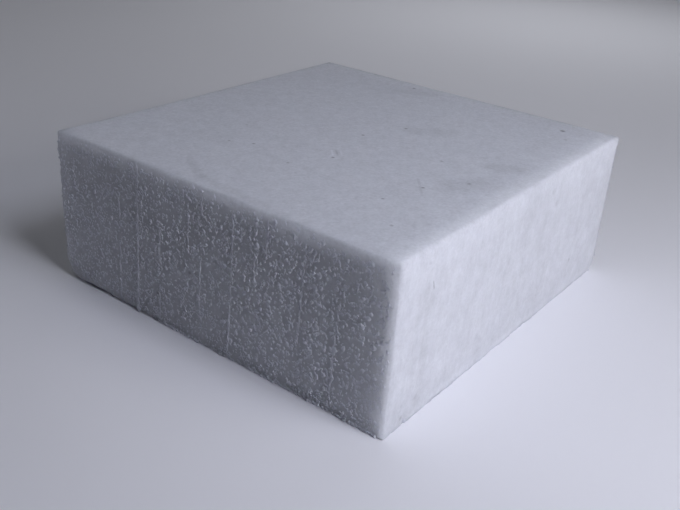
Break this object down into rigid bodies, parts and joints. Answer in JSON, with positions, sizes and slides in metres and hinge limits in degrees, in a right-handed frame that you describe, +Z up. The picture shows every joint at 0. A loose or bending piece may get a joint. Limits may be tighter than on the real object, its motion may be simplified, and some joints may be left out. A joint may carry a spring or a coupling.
{
  "type": "acoustic foam panel",
  "caption": "Flat rectangular block of light grey open-cell sound-absorbing foam with sawn sides, rested or glued on a flat face.",
  "frame": {"origin": "centre of the underside, on the surface that the block rests on", "axes": "+Z up through the thickness, +X along the longer side, +Y along the shorter side"},
  "size_m": [0.131, 0.125, 0.05],
  "materials": {
    "foam": "matte, very fine open cells, light cool grey, lets a little light through at its edges"
  },
  "bodies": {
    "root": {"foam_panel": "foam"}
  },
  "joints": []
}
